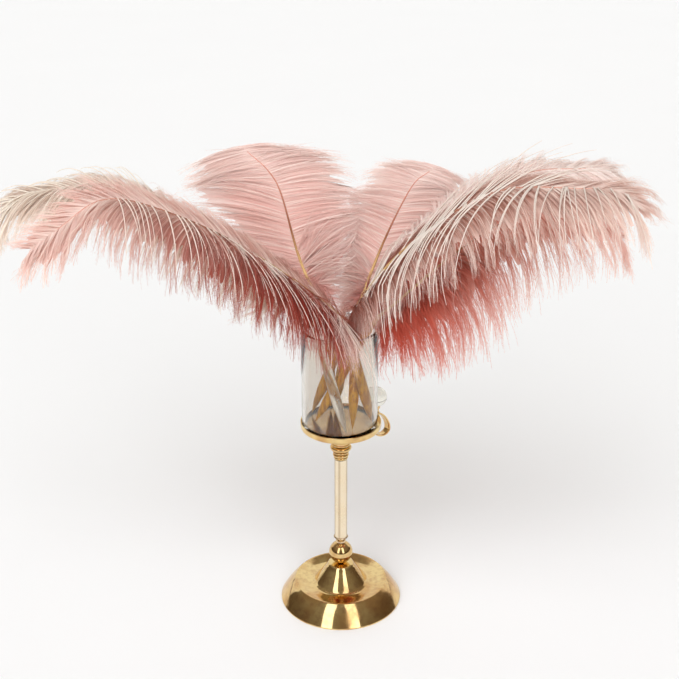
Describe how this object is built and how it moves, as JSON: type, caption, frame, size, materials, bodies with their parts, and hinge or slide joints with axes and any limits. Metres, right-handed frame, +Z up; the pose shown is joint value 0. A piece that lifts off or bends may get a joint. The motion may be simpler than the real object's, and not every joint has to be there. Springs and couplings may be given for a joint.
{
  "type": "ostrich feather bouquet",
  "caption": "Dyed drooping ostrich plumes fanned out of a smoky glass cylinder that stands in the tray of a turned gilt stand.",
  "frame": {"origin": "middle of the foot's underside, on the axis of the stand", "axes": "+Z up along the stand; the viewer of the picture stands on the -Y side; +X to the viewer's right"},
  "size_m": [0.5335, 0.2628, 0.4237],
  "materials": {
    "gilt_metal": "polished",
    "smoky_glass": "clear, lightly smoked",
    "clear_crystal": "clear",
    "dyed_feather": "soft"
  },
  "bodies": {
    "root": {"ball_knob": "gilt_metal", "bead_collar": "gilt_metal", "crystal_ball": "clear_crystal", "finger_loop": "gilt_metal", "foot": "gilt_metal", "glass_cylinder": "smoky_glass", "plume_back_left": "dyed_feather", "plume_back_right": "dyed_feather", "plume_left_back": "dyed_feather", "plume_left_front": "dyed_feather", "plume_right_back": "dyed_feather", "plume_right_front": "dyed_feather", "plume_right_middle": "dyed_feather", "stem": "gilt_metal", "tray": "gilt_metal"}
  },
  "joints": []
}
